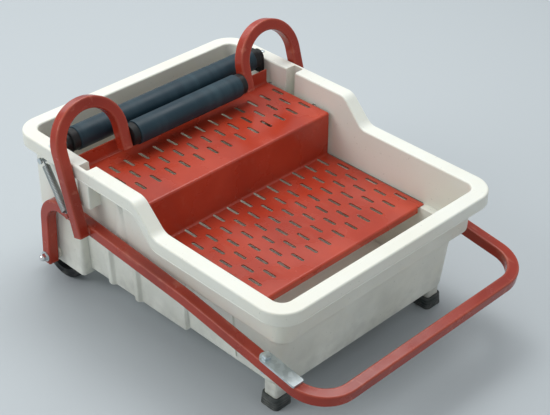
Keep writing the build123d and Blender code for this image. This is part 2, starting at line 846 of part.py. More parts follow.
def return_spring():
    """Right extension spring: hook, lead-in, coil, lead-out and hook in one wire."""
    low = Vector(spring_low_x, peg_y, peg_z)
    high = Vector(spring_high_x, spring_bolt_y, spring_bolt_height)
    along = (high - low).normalized()
    out = along.cross(Vector(1, 0, 0)).normalized()
    side = out.cross(along)
    shift = out * hook_radius
    span = (high - low).length
    coil_turns = int((span - 2 * (coil_lead + hook_lead)) / coil_pitch)
    coil_length = coil_turns * coil_pitch
    coil_start = (span - coil_length) / 2
    rise = coil_pitch / (2 * pi * coil_radius)

    def coil_point(turn):
        angle = 2 * pi * turn
        spoke = side * cos(angle) + out * sin(angle)
        return low + shift + along * (coil_start + coil_pitch * turn) + spoke * coil_radius

    def coil_way(turn):
        angle = 2 * pi * turn
        return (out * cos(angle) - side * sin(angle) + along * rise).normalized()

    lead_in = low + shift + along * (coil_start - coil_lead)
    lead_out = low + shift + along * (coil_start + coil_length + coil_lead)
    edges = hook_edges(low, out, along)
    edges.append(Line(low + shift, lead_in))
    stops = [(lead_in, along)]
    turns = [step / coil_stops for step in range(coil_stops * coil_turns + 1)]
    stops += [(coil_point(turn), coil_way(turn)) for turn in turns]
    stops += [(lead_out, along)]
    for (p0, t0), (p1, t1) in zip(stops, stops[1:]):
        edges += [arc_edge(*arc) for arc in biarc(p0, t0, p1, t1)]
    edges.append(Line(lead_out, high + shift))
    upper_hook = hook_edges(high, out, -along)
    edges += [ThreePointArc(high + shift, upper_hook[1] @ 0.5, upper_hook[1] @ 0)]
    edges += [Line(upper_hook[0] @ 1, upper_hook[0] @ 0)]
    path = Wire(edges)
    start = Plane(origin=path @ 0, z_dir=path % 0)
    return sweep(start * Circle(wire_radius), path=path), path


def least_gap(path):
    """Least clear distance between turns of a spring's wire, measured on points along it."""
    count = int(path.length / wire_radius)
    points = [path @ (step / count) for step in range(count + 1)]
    step = path.length / count
    apart = int(4 * wire_radius / step) + 1
    pairs = ((a, b) for i, a in enumerate(points) for b in points[i + apart:])
    return min((a - b).length for a, b in pairs) - 2 * wire_radius


def catch_place_plane():
    """Plane on the left side tube's top at the catch's bolt, its Z along the bolt."""
    y = front_edge + catch_place
    z = pedal_height + (y - bar_y) * sin(pedal_slope) / cos(pedal_slope)
    normal = Vector(0, -sin(pedal_slope), cos(pedal_slope))
    return Plane(origin=Vector(-side_tube_x, y, z) + normal * half_tube, x_dir=(1, 0, 0), z_dir=normal)


def catch_plate():
    """Flat catch that lies along the tube and swings in about its bolt."""
    nose = catch_length - catch_width / 2
    bar = Pos(0, -nose / 2) * Rectangle(catch_width, nose)
    bar = fillet(bar.vertices().group_by(Axis.Y)[0], catch_corner)
    outline = bar + Circle(catch_width / 2) - Circle(catch_bolt_radius + running_gap)
    return catch_place_plane() * extrude(Pos(0, 0, catch_gap) * outline, amount=catch_thickness)


def catch_bolt():
    """Hexagon bolt through the catch and the tube."""
    head_face = 2 * catch_gap + catch_thickness
    length = head_face + tube + catch_nut_height
    shank = Pos(0, 0, head_face - length / 2) * Cylinder(catch_bolt_radius, length)
    outline = RegularPolygon(catch_bolt_flats / 2, 6, major_radius=False)
    head = extrude(Pos(0, 0, head_face) * outline, amount=catch_bolt_head)
    return catch_place_plane() * (shank + head)


def catch_nut():
    """Nut of the catch's bolt, under the tube."""
    outline = RegularPolygon(catch_bolt_flats / 2, 6, major_radius=False)
    outline = outline - Circle(catch_bolt_radius + running_gap)
    place = Pos(0, 0, -tube - catch_nut_height)
    return catch_place_plane() * extrude(place * outline, amount=catch_nut_height)


def main():
    """Builds every piece and writes one file for each."""
    rear_y, rear_z = rear_roller_y, rear_roller_height
    front_y, front_z = front_roller_axis.Y, front_roller_axis.Z
    rear_sleeve_half = rear_roller_half - cap_flange
    front_sleeve_half = front_roller_half - cap_flange
    spring, spring_path = return_spring()
    print("least gap between the spring's turns:", round(least_gap(spring_path), 2))
    parts = {
        "tub": tub(),
        "step_plate": step_plate(),
        "rear_roller_sleeve": roller_sleeve(rear_sleeve_half, rear_y, rear_z),
        "rear_roller_core": roller_core(rear_sleeve_half, rear_y, rear_z),
        "rear_roller_caps": both_sides(roller_cap(rear_roller_half, rear_y, rear_z)),
        "rear_roller_shaft": rear_roller_shaft(),
        "bearing_screws": both_sides(bearing_screw()),
        "pedal_frame": pedal_frame(),
        "tube_end_caps": both_sides(tube_end_caps()),
        "front_roller_sleeve": roller_sleeve(front_sleeve_half, front_y, front_z),
        "front_roller_core": roller_core(front_sleeve_half, front_y, front_z),
        "front_roller_caps": both_sides(roller_cap(front_roller_half, front_y, front_z)),
        "front_roller_shaft": front_roller_shaft(),
        "axle_washers": both_sides(axle_washer()),
        "axle_nuts": both_sides(acorn_nut()),
        "spring_bolts": both_sides(spring_bolt()),
        "spring_bolt_nuts": both_sides(spring_bolt_nut()),
        "spring_ears": both_sides(spring_ear()),
        "catch_plate": catch_plate(),
        "catch_bolt": catch_bolt(),
        "catch_nut": catch_nut(),
    }
    pairs = {
        "bearing_block": bearing_block(),
        "foot_boot": foot_boot(),
        "gooseneck": gooseneck(),
        "pivot_bush": pivot_bush(),
        "axle": axle(),
        "wheel_tyre": wheel_tyre(),
        "wheel_hub": wheel_hub(),
        "return_spring": spring,
    }
    for name, shape in pairs.items():
        parts[name + "_right"] = shape
        parts[name + "_left"] = mirrored(shape)
    os.makedirs("parts", exist_ok=True)
    for name, shape in parts.items():
        export_step(shape, f"parts/{name}.step")


main()
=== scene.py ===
"""Looks of the foot-operated wringing tray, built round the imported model. Metres, +Z up."""
import json
from math import atan2, cos, pi, radians, sin, tan

import bmesh
import bpy
from mathutils import Matrix, Vector


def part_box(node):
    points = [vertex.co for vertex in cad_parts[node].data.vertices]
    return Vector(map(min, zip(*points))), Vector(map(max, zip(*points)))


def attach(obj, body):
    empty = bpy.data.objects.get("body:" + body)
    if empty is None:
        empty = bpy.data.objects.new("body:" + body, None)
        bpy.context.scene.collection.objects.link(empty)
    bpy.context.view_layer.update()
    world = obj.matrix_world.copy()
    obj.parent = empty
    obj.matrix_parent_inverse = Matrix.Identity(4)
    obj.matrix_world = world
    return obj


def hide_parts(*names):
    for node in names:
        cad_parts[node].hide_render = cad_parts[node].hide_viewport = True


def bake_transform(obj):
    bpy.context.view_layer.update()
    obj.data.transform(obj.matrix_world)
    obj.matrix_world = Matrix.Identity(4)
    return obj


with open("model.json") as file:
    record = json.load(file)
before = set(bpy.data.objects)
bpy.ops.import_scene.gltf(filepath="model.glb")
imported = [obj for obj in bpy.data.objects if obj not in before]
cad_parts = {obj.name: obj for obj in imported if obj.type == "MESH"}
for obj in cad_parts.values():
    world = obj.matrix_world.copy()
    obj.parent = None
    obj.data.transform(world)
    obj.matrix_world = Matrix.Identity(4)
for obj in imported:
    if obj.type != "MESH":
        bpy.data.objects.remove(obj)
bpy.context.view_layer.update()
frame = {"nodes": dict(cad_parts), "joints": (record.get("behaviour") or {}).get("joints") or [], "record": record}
nodes = frame["nodes"]
joints = {joint["name"]: joint for joint in frame["joints"]}

MM = 0.001
SIDES = (("right", 1), ("left", -1))

# Fineness of the added meshes
SMOOTH_ANGLE = radians(32)
ARC_STEPS = 6
FLANK_STEPS = 10
TURN_STEPS = 96
HEAD_STEPS = 72

# Sockets of a colour mix, and how finely the bevel node looks around a point
MIX_SHARE, MIX_FIRST, MIX_SECOND, MIX_RESULT = 0, 6, 7, 2
BEVEL_SAMPLES = 4

# Heights between which dirt grows, and the upright part of a normal from which a face counts as level
GRIME_TOP, GRIME_FULL = 200.0 * MM, 60.0 * MM
SCUFF_TOP, SCUFF_FULL = 110.0 * MM, 30.0 * MM
DUST_TOP, DUST_FULL = 60.0 * MM, 0.0
LEVEL_FROM, LEVEL_FULL = 0.5, 0.9

# Painted shade on the ledge and the posts under the step plate
LEDGE_TOP = 163.0 * MM
PLATE_FRONT = -152.0 * MM
POST_TOP = 247.0 * MM
POST_OUTER = 223.5 * MM
PAINTED_SHADE_EDGE = 2.0 * MM
PAINTED_SHADE_FADE = 6.0 * MM

# Folded sheet of the step plate
SHEET = 2.0 * MM
SHEET_BEND = 4.0 * MM
SHEET_EDGE = 0.35 * MM
SHEET_EDGE_STEPS = 2
SHEET_EDGE_ANGLE = radians(50)
RISER_FACE = 73.0 * MM
NOSE_DROP = 12.0 * MM
NOSE_INSET = 15.0 * MM
NOSE_RELIEF = 0.8 * MM
SHELF_FLANGE = 26.0 * MM
SHELF_RISE = 84.0 * MM
BEND_STEPS = 8
BEND_MARGIN = 0.6 * MM
CUT_TOLERANCE = 1e-7
SLOT_LENGTH = 28.0 * MM
SLOT_WIDTH = 6.6 * MM
SLOT_PITCH = 31.4 * MM
SLOT_ROW_PITCH = 33.6 * MM
SLOT_EDGE = 7.0 * MM
SLOT_END_STEPS = 8
LOWER_SLOTS_FROM_RISER = 1.0 * MM
SHELF_SLOTS_FROM_RISER = 36.0 * MM

# Wound return springs, the right one's places
SPRING_PEG = Vector((262.0, 203.0, 193.676)) * MM
SPRING_BOLT = Vector((240.0, 289.0, 254.0)) * MM
WIRE_RADIUS = 1.2 * MM
WIRE_SIDES = 10
COIL_RADIUS = 5.6 * MM
COIL_LENGTH = 85.0 * MM
COIL_TURNS = 32
COIL_STEPS = 20
COIL_LEAD = 7.0 * MM
HOOK_RADIUS = 4.8 * MM
HOOK_TURN = radians(235)
HOOK_STEPS = 20

# Tyres and boots. A groove's bed is given as a share of its width.
TYRE_DEPTH = 12.0 * MM
TYRE_SHOULDER = 5.0 * MM
TYRE_GROOVES = (-5.5 * MM, 0.0, 5.5 * MM)
TYRE_GROOVE_BED = 0.6
GROOVE_WIDTH = 1.8 * MM
GROOVE_DEPTH = 1.2 * MM
SIDE_RING = 2.5 * MM
SIDE_STEP = 0.8 * MM
BOOT_WALL = 3.4 * MM
BOOT_FLOOR = 4.0 * MM
BOOT_FLARE = 1.5 * MM
BOOT_CORNER = 8.5 * MM
BOOT_EDGE = 0.9 * MM
BOOT_GROOVES = (6.0 * MM, 11.0 * MM, 16.0 * MM)
BOOT_GROOVE_BED = 0.5

# Raised panels with two ribs on the lower side walls, the right one's places
PANEL_REAR = 227.5 * MM
PANEL_FRONT = -13.0 * MM
PANEL_STEP = 8.0 * MM
PANEL_BOTTOM = 48.0 * MM
PANEL_TOP = 161.0 * MM
PANEL_ROUNDING = 2.0 * MM
PANEL_FACE_FRONT = 206.2 * MM
PANEL_FACE_REAR = 209.6 * MM
PANEL_DRAFT = 5.0 * MM
PANEL_SEAT_LOW = (197.5 * MM, 53.0 * MM)
PANEL_SEAT_TOP = (206.5 * MM, 161.0 * MM)
PANEL_FADE = 0.95
RIB_CRESTS = (166.0 * MM, 98.0 * MM)
RIB_CREST = 4.0 * MM
RIB_REAR_FLANK = 14.0 * MM
RIB_FRONT_FLANK = 7.0 * MM
RIB_HEIGHT = 6.2 * MM

# Bead along the lower edge of the rim's lip
LIP_HALF_WIDTH = 250.0 * MM
LIP_FRONT = -277.0 * MM
LIP_REAR = 363.0 * MM
LIP_CORNER = 45.0 * MM
LIP_CORNER_STEPS = 12
LIP_LOW = 220.0 * MM
LIP_HIGH = 267.0 * MM
SLOPE_FOOT = 3.0 * MM
SLOPE_RUN = 45.0 * MM
SLOPE_RADIUS = 25.0 * MM
SLOPE_MARGIN = 0.5
SLOPE_STEPS = 36
LIP_BEAD = 1.6 * MM
LIP_BEAD_INSET = 0.9 * MM

# Gussets under the lip. Flanks and seats are given at the foot and at the head.
GUSSET_PLACE = 115.0 * MM
GUSSET_HALF = 3.4 * MM
GUSSET_FLANKS = (22.0 * MM, 1.0 * MM)
GUSSET_SEATS = (221.5 * MM, 225.4 * MM)
GUSSET_LOW = 159.6 * MM
GUSSET_HIGH = 274.0 * MM
GUSSET_FOOT = 226.5 * MM
GUSSET_SPREAD = 14.5 * MM
GUSSET_CURVE = 3
GUSSET_CHAMFER = 1.0 * MM
GUSSET_STEPS = 20

# Weld beads between goosenecks and side tubes
NECK_FOOT = Vector((262.0, 171.0, 170.041)) * MM
NECK_LEAN = radians(16)
TUBE_HALF = 10.0 * MM
FRONT_BEAD = 13.0 * MM
REAR_BEAD = 18.5 * MM
BEAD_RADIUS = 1.9 * MM
BEAD_RIPPLE = 0.35 * MM
BEAD_PITCH = 2.3 * MM
BEAD_STEP = 0.4 * MM
BEAD_SIDES = 12

# Screw heads and the catch's bolt
TIP_CHAMFER = 0.35 * MM
SCREW_RADIUS = 4.5 * MM
SCREW_SHANK = 2.3 * MM
SCREW_HEIGHT = 2.4 * MM
DOME_FOOT = 0.25
DOME_FULLNESS = 0.6
CROSS_LENGTH = 5.0 * MM
CROSS_WIDTH = 1.1 * MM
CROSS_DEPTH = 1.5 * MM
CATCH_LIFT = 4.6 * MM
BOLT_FLATS = 13.0 * MM
BOLT_HEAD = 5.3 * MM
BOLT_SHANK = 4.0 * MM
BOLT_LENGTH = 31.1 * MM
HEX_LAND = 0.94
HEX_CONE = 0.577

# Floor and light: each lamp's place, size and power
FLOOR_SIZE = 12.0
FLOOR_COLOUR = (0.47, 0.51, 0.53)
FLOOR_ROUGHNESS = 0.7
SKY_COLOUR = (0.86, 0.90, 0.93)
SKY_STRENGTH = 0.61
LAMP_TARGET = (0.0, 0.0, 0.2)
LAMPS = {
    "key": ((0.7, 0.6, 2.6), 1.8, 44.0),
    "fill": ((-2.2, 1.3, 1.9), 1.6, 28.0),
    "back": ((0.4, 2.6, 1.6), 1.5, 8.0),
}

# The photograph's camera
CAMERA_PLACE = (-1.2823, -1.2993, 1.4214)
CAMERA_YAW = radians(44.856)
CAMERA_PITCH = radians(34.111)
CAMERA_ROLL = radians(0.438)
CAMERA_LENS = 86.96
SENSOR_WIDTH = 36.0


# Materials

class Finish:
    """A material being made: its shader, its object coordinates and short ways to add nodes."""

    def __init__(self, name, colour, roughness, metallic=0.0, specular=0.5):
        self.material = bpy.data.materials.new(name)
        self.material.use_nodes = True
        self.tree = self.material.node_tree
        self.shader = self.tree.nodes["Principled BSDF"]
        self.set("Base Color", (*colour, 1))
        self.set("Roughness", roughness)
        self.set("Metallic", metallic)
        self.set("Specular IOR Level", specular)
        self.place = self.add("ShaderNodeTexCoord").outputs["Object"]

    def set(self, key, value):
        """Sets one of the shader's own values."""
        self.shader.inputs[key].default_value = value

    def add(self, kind, **inputs):
        """New node, its inputs given as values or as other nodes' outputs."""
        node = self.tree.nodes.new(kind)
        for key, value in inputs.items():
            self.put(node.inputs[key.replace("_", " ")], value)
        return node

    def put(self, socket, value):
        """Sets a socket to a value, or links an output to it."""
        if isinstance(value, bpy.types.NodeSocket):
            self.tree.links.new(value, socket)
        else:
            socket.default_value = value

    def stretched(self, x, y, z):
        """Object coordinates scaled along each axis."""
        return self.add("ShaderNodeMapping", Vector=self.place, Scale=(x, y, z)).outputs["Vector"]

    def noise(self, scale, detail, where=None):
        """Value from 0 to 1 that wanders over the surface."""
        where = where or self.place
        node = self.add("ShaderNodeTexNoise", Vector=where, Scale=scale, Detail=detail)
        return node.outputs["Fac"]

    def patches(self, scale, detail, low, high, out_low=0.0, out_high=1.0, where=None):
        """Wandering value, cut between two levels and mapped to a range."""
        return self.span(self.noise(scale, detail, where), low, high, out_low, out_high)

    def cells(self, scale):
        """Random grey of each cell of a broken pattern."""
        pattern = self.add("ShaderNodeTexVoronoi", Vector=self.place, Scale=scale)
        return self.add("ShaderNodeRGBToBW", Color=pattern.outputs["Color"]).outputs["Val"]

    def along(self, axis):
        """Object coordinate along one axis."""
        return self.add("ShaderNodeSeparateXYZ", Vector=self.place).outputs[axis]

    def upward(self):
        """How far a face looks up, from -1 to 1."""
        normal = self.add("ShaderNodeNewGeometry").outputs["True Normal"]
        return self.add("ShaderNodeSeparateXYZ", Vector=normal).outputs["Z"]

    def level(self, out_low=0.0, out_high=1.0):
        """Value that goes from one number to another as a face turns to look straight up."""
        return self.span(self.upward(), LEVEL_FROM, LEVEL_FULL, out_low, out_high)

    def span(self, value, low, high, out_low=0.0, out_high=1.0):
        """Value mapped from one range to another, held at the ends."""
        node = self.add(
            "ShaderNodeMapRange",
            Value=value, From_Min=low, From_Max=high, To_Min=out_low, To_Max=out_high,
        )
        return node.outputs["Result"]

    def times(self, *values):
        """Product of values."""
        product = values[0]
        for value in values[1:]:
            node = self.tree.nodes.new("ShaderNodeMath")
            node.operation = "MULTIPLY"
            self.put(node.inputs[0], product)
            self.put(node.inputs[1], value)
            product = node.outputs[0]
        return product

    def mix(self, share, first, second):
        """Colour between two, each a colour or another node's output."""
        node = self.tree.nodes.new("ShaderNodeMix")
        node.data_type = "RGBA"
        self.put(node.inputs[MIX_SHARE], share)
        for index, colour in ((MIX_FIRST, first), (MIX_SECOND, second)):
            linked = isinstance(colour, bpy.types.NodeSocket)
            self.put(node.inputs[index], colour if linked else (*colour, 1))
        return node.outputs[MIX_RESULT]

    def edges(self, width, low, high):
        """How close a point is to an edge, from 0 to 1, by how far the normals around it lean."""
        soft = self.add("ShaderNodeBevel", Radius=width)
        soft.samples = BEVEL_SAMPLES
        hard = self.add("ShaderNodeNewGeometry").outputs["Normal"]
        dot = self.tree.nodes.new("ShaderNodeVectorMath")
        dot.operation = "DOT_PRODUCT"
        self.put(dot.inputs[0], soft.outputs["Normal"])
        self.put(dot.inputs[1], hard)
        return self.span(dot.outputs["Value"], low, high)

    def colour(self, value):
        """Links the shader's colour."""
        self.put(self.shader.inputs["Base Color"], value)

    def roughness(self, value):
        """Links the shader's roughness."""
        self.put(self.shader.inputs["Roughness"], value)

    def bump(self, value, strength, distance):
        """Adds relief to the shader's normal, on top of what is there."""
        node = self.add("ShaderNodeBump", Height=value, Strength=strength, Distance=distance)
        there = self.shader.inputs["Normal"]
        if there.is_linked:
            self.put(node.inputs["Normal"], there.links[0].from_socket)
        self.put(there, node.outputs["Normal"])


def tub_plastic():
    """Moulded off-white plastic, a little yellowed, grimy low down, with level faces painted lighter and painted
    shade under the step plate.
    """
    cream = (0.78, 0.79, 0.72)
    yellowed = (0.73, 0.70, 0.58)
    grime = (0.31, 0.32, 0.27)
    # Near-black colour of the painted shade under the step plate.
    painted_shade = (0.10, 0.095, 0.075)
    scuff = (0.42, 0.415, 0.385)
    grime_share, scuff_share, speck_share = 0.45, 0.6, 0.35
    finish = Finish("tub_plastic", cream, roughness=0.4)
    finish.set("Subsurface Weight", 0.4)
    finish.set("Subsurface Radius", (1.0, 0.95, 0.85))
    finish.set("Subsurface Scale", 3.0 * MM)
    aged = finish.patches(scale=6.0, detail=4.0, low=0.42, high=0.75, out_high=0.4)
    base = finish.mix(aged, cream, yellowed)
    height = finish.along("Z")
    # Grime and scuffs are mostly left off faces that look up: painted light, so the deep inside floor looks lit.
    painted_light_on_level = finish.level(out_low=1.0, out_high=0.15)
    low_down = finish.span(height, GRIME_TOP, GRIME_FULL)
    clouds = finish.patches(scale=14.0, detail=8.0, low=0.35, high=0.7)
    base = finish.mix(finish.times(low_down, clouds, painted_light_on_level, grime_share), base, grime)
    at_foot = finish.span(height, SCUFF_TOP, SCUFF_FULL)
    marks = finish.patches(scale=45.0, detail=10.0, low=0.45, high=0.7)
    base = finish.mix(finish.times(at_foot, marks, painted_light_on_level, scuff_share), base, scuff)
    across = finish.along("X")
    under_plate = finish.span(finish.along("Y"), PLATE_FRONT, PLATE_FRONT + PAINTED_SHADE_FADE)
    squared = finish.times(across, across)
    inside = finish.span(squared, POST_OUTER ** 2, (POST_OUTER - PAINTED_SHADE_EDGE) ** 2)
    # Near-black band on the ledge under the plate and on the post tops in the gap beside it: painted shade.
    for top, limit in ((LEDGE_TOP, under_plate), (POST_TOP, inside)):
        above = finish.span(height, top - PAINTED_SHADE_EDGE, top)
        below = finish.span(height, top + PAINTED_SHADE_EDGE, top)
        base = finish.mix(finish.times(above, below, limit, finish.level()), base, painted_shade)
    specks = finish.patches(scale=210.0, detail=2.0, low=0.70, high=0.76)
    base = finish.mix(finish.times(specks, speck_share), base, grime)
    finish.colour(base)
    finish.roughness(finish.patches(30.0, 6.0, low=0.3, high=0.7, out_low=0.30, out_high=0.50))
    finish.bump(finish.noise(scale=700.0, detail=2.0), strength=0.10, distance=0.2 * MM)
    finish.bump(finish.noise(scale=16.0, detail=2.0), strength=0.12, distance=1.5 * MM)
    return finish.material


def red_paint(name, wet):
    """Brick-red paint on steel, patchy, scuffed and worn pale along its edges, with a painted highlight along its
    upper corners, brighter when wet.
    """
    red = (0.49, 0.056, 0.024) if wet else (0.41, 0.042, 0.019)
    deep = (0.37, 0.036, 0.016) if wet else (0.28, 0.025, 0.012)
    # Pale red of scuffs and worn edges, also used for the painted highlight on upper corners.
    rubbed_and_highlight = (0.52, 0.16, 0.10)
    bare = (0.36, 0.31, 0.28)
    scuff_share = 0.12 if wet else 0.45
    painted_highlight_share, worn_share = 0.5, 0.75
    finish = Finish(name, red, roughness=0.4, specular=0.45 if wet else 0.38)
    base = finish.mix(finish.patches(scale=9.0, detail=6.0, low=0.35, high=0.7), deep, red)
    drawn_out = finish.stretched(1.0, 0.35, 1.0)
    scuffs = finish.patches(scale=60.0, detail=8.0, low=0.60, high=0.72, where=drawn_out)
    base = finish.mix(finish.times(scuffs, scuff_share), base, rubbed_and_highlight)
    if not wet:
        # Pale lines along the upper corners: a painted highlight standing in for the sky's reflection on the round
        # tube corners.
        corners = finish.edges(width=5.0 * MM, low=0.998, high=0.93)
        painted_highlight_from_above = finish.span(finish.upward(), low=-0.1, high=0.5)
        base = finish.mix(finish.times(corners, painted_highlight_from_above, painted_highlight_share), base, rubbed_and_highlight)
    edge = finish.edges(width=2.2 * MM, low=0.98, high=0.8)
    worn = finish.patches(scale=38.0, detail=6.0, low=0.38, high=0.62)
    base = finish.mix(finish.times(edge, worn, worn_share), base, rubbed_and_highlight)
    chips = finish.patches(scale=120.0, detail=4.0, low=0.62, high=0.68)
    base = finish.mix(finish.times(edge, chips), base, bare)
    finish.colour(base)
    if wet:
        gloss = finish.patches(11.0, 5.0, low=0.4, high=0.62, out_low=0.16, out_high=0.42)
    else:
        gloss = finish.patches(40.0, 5.0, low=0.3, high=0.7, out_low=0.15, out_high=0.30)
    finish.roughness(gloss)
    finish.bump(finish.noise(scale=420.0, detail=2.0), strength=0.08, distance=0.2 * MM)
    finish.bump(finish.noise(scale=22.0, detail=3.0), strength=0.10, distance=0.8 * MM)
    return finish.material


def roller_rubber():
    """Dark slate rubber with fine rings round it and a dull bloom."""
    slate = (0.010, 0.030, 0.044)
    bloom = (0.030, 0.064, 0.082)
    finish = Finish("roller_rubber", slate, roughness=0.5, specular=0.3)
    rings = finish.noise(scale=60.0, detail=5.0, where=finish.stretched(1.0, 0.05, 0.05))
    clouds = finish.noise(scale=14.0, detail=5.0)
    ringed = finish.span(rings, low=0.35, high=0.7)
    clouded = finish.span(clouds, low=0.35, high=0.7)
    finish.colour(finish.mix(finish.times(ringed, clouded), slate, bloom))
    finish.roughness(finish.span(clouds, low=0.3, high=0.7, out_low=0.38, out_high=0.6))
    finish.bump(finish.noise(scale=900.0, detail=2.0), strength=0.12, distance=0.2 * MM)
    finish.bump(rings, strength=0.10, distance=0.3 * MM)
    return finish.material


def dark(name, colour, dust, roughness):
    """Black rubber or plastic, dusty near the floor."""
    smoother, rougher = roughness - 0.08, roughness + 0.1
    finish = Finish(name, colour, roughness, specular=0.3)
    cover = finish.patches(scale=40.0, detail=6.0, low=0.40, high=0.70)
    height = finish.along("Z")
    near_floor = finish.span(height, DUST_TOP, DUST_FULL, out_low=0.04, out_high=0.7)
    finish.colour(finish.mix(finish.times(cover, near_floor), colour, dust))
    finish.roughness(finish.patches(25.0, 4.0, 0.3, 0.7, out_low=smoother, out_high=rougher))
    finish.bump(finish.noise(scale=600.0, detail=3.0), strength=0.2, distance=0.3 * MM)
    return finish.material


def metal(name, colour, tint, roughness, spangle):
    """Bare metal, streaky, or with the broken sheen of a zinc coat."""
    smoother, rougher = roughness - 0.06, roughness + 0.12
    finish = Finish(name, colour, roughness, metallic=1.0)
    if spangle:
        grain = finish.cells(scale=110.0)
    else:
        grain = finish.noise(scale=90.0, detail=6.0, where=finish.stretched(0.15, 1.0, 1.0))
    finish.colour(finish.mix(finish.span(grain, low=0.25, high=0.75), colour, tint))
    finish.roughness(finish.span(grain, low=0.2, high=0.8, out_low=smoother, out_high=rougher))
    finish.bump(finish.noise(scale=500.0, detail=3.0), strength=0.06, distance=0.2 * MM)
    return finish.material


def pale_nylon():
    """Natural nylon of the pivot bushes, greyed by grease."""
    nylon = (0.62, 0.60, 0.52)
    grease = (0.20, 0.18, 0.15)
    finish = Finish("bush_plastic", nylon, roughness=0.45)
    smears = finish.patches(scale=80.0, detail=5.0, low=0.45, high=0.7)
    finish.colour(finish.mix(smears, nylon, grease))
    finish.roughness(finish.patches(50.0, 3.0, low=0.3, high=0.7, out_low=0.35, out_high=0.55))
    return finish.material


finishes = {
    "tub_plastic": tub_plastic(),
    "red_paint": red_paint("red_paint", False),
    "roller_rubber": roller_rubber(),
    "black_plastic": dark("black_plastic", (0.008, 0.009, 0.010), (0.16, 0.155, 0.14), 0.5),
    "foot_rubber": dark("foot_rubber", (0.040, 0.047, 0.047), (0.20, 0.205, 0.19), 0.75),
    "tyre_rubber": dark("tyre_rubber", (0.014, 0.016, 0.017), (0.18, 0.18, 0.165), 0.72),
    "steel": metal("steel", (0.50, 0.51, 0.52), (0.62, 0.62, 0.62), 0.30, False),
    "zinc_steel": metal("zinc_steel", (0.56, 0.62, 0.64), (0.69, 0.75, 0.77), 0.46, True),
    "spring_steel": metal("spring_steel", (0.38, 0.41, 0.41), (0.50, 0.53, 0.52), 0.42, False),
    "chrome": metal("chrome", (0.74, 0.75, 0.76), (0.80, 0.80, 0.80), 0.12, False),
    "bush_plastic": pale_nylon(),
}
wet_red = red_paint("wet_red_paint", True)


# Carried-over nodes

slot_of_node = {row["node"]: row["material_slot"] for row in frame["record"]["subparts"]}
for name, node in nodes.items():
    node.data.materials.clear()
    node.data.materials.append(wet_red if name == "step_plate" else finishes[slot_of_node[name]])


# Ways to make a piece

def shown(name, bm, body, finish, slot, *replaced):
    """New piece from mesh data, riding on a body and standing for the nodes that it replaces."""
    mesh = bpy.data.meshes.new(name)
    bm.to_mesh(mesh)
    bm.free()
    piece = bpy.data.objects.new(name, mesh)
    bpy.context.scene.collection.objects.link(piece)
    mesh.materials.append(finish)
    for face in mesh.polygons:
        face.use_smooth = True
    mesh.set_sharp_from_angle(angle=SMOOTH_ANGLE)
    if body:
        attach(piece, body)
    if replaced:
        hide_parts(*replaced)
    return piece


def modified(piece, kind, **settings):
    """Adds a modifier with its settings and applies it to the piece's mesh."""
    modifier = piece.modifiers.new(kind.lower(), kind)
    for key, value in settings.items():
        setattr(modifier, key, value)
    graph = bpy.context.evaluated_depsgraph_get()
    mesh = bpy.data.meshes.new_from_object(piece.evaluated_get(graph))
    piece.modifiers.clear()
    piece.data = mesh


def skin(bm, rings, closed):
    """Faces between neighbouring rings of points, round to the first ring or with both ends capped."""
    loops = [[bm.verts.new(point) for point in points] for points in rings]
    for first, second in zip(loops, loops[1:] + loops[:1] if closed else loops[1:]):
        for k in range(len(first)):
            after = (k + 1) % len(first)
            bm.faces.new((first[k], first[after], second[after], second[k]))
    if not closed:
        bm.faces.new(loops[0][::-1])
        bm.faces.new(loops[-1])
    bmesh.ops.recalc_face_normals(bm, faces=bm.faces[:])


def shares(count):
    """Even shares from 0 to 1."""
    return [step / count for step in range(count + 1)]


def spokes(count):
    """Angles of even spokes round a circle."""
    return [2 * pi * step / count for step in range(count)]


def quarter_arc():
    """Angles from 0 to a right angle."""
    return [pi / 2 * step / ARC_STEPS for step in range(ARC_STEPS + 1)]


def eased(share):
    """Share from 0 to 1 that starts and ends softly."""
    return share * share * (3 - 2 * share)


def between(pair, share):
    """Value at a share of the way from the first of two to the second."""
    return pair[0] + (pair[1] - pair[0]) * share


def mirror(side):
    """Factors that take a point of the right side to a side, 1 for right and -1 for left."""
    return Vector((side, 1.0, 1.0))


def wire_rings(points, radii, sides):
    """Rings of points round a line, with a radius at each of its points."""
    rings = []
    across = (points[1] - points[0]).normalized().orthogonal().normalized()
    for index, point in enumerate(points):
        before = points[max(index - 1, 0)]
        after = points[min(index + 1, len(points) - 1)]
        way = (after - before).normalized()
        across = (across - way * across.dot(way)).normalized()
        other = way.cross(across)
        radius = radii[index]
        rings.append([point + (across * cos(a) + other * sin(a)) * radius for a in spokes(sides)])
    return rings


# Step plate

class Fold:
    """Side view of a folded sheet: straight runs and square bends, walked along its upper face."""

    def __init__(self, corners, radius):
        self.runs = []
        length = 0.0
        points = [Vector(corner) for corner in corners]
        start = points[0]
        for here, after in zip(points[1:], points[2:] + [None]):
            way = (here - start).normalized()
            stop = here if after is None else here - way * radius
            self.runs.append((length, start, way, 0.0))
            length += (stop - start).length
            if after is not None:
                onward = (after - here).normalized()
                turn = way.angle_signed(onward)
                self.runs.append((length, stop, way, turn))
                length += radius * abs(turn)
                start = here + onward * radius
        self.length = length
        self.radius = radius

    def at(self, distance):
        """Point of the side view at a distance along the sheet."""
        begun = [run for run in self.runs if run[0] <= max(distance, 0.0)]
        begin, start, way, turn = begun[-1]
        gone = distance - begin
        if turn == 0.0:
            return start + way * gone
        angle = gone / self.radius
        side = Vector((way.y, -way.x)) if turn > 0 else Vector((-way.y, way.x))
        return start + way * (self.radius * sin(angle)) + side * (self.radius * (1 - cos(angle)))

    def bends(self):
        """Start and end of each bend along the sheet."""
        return [(run[0], after[0]) for run, after in zip(self.runs, self.runs[1:]) if run[3]]


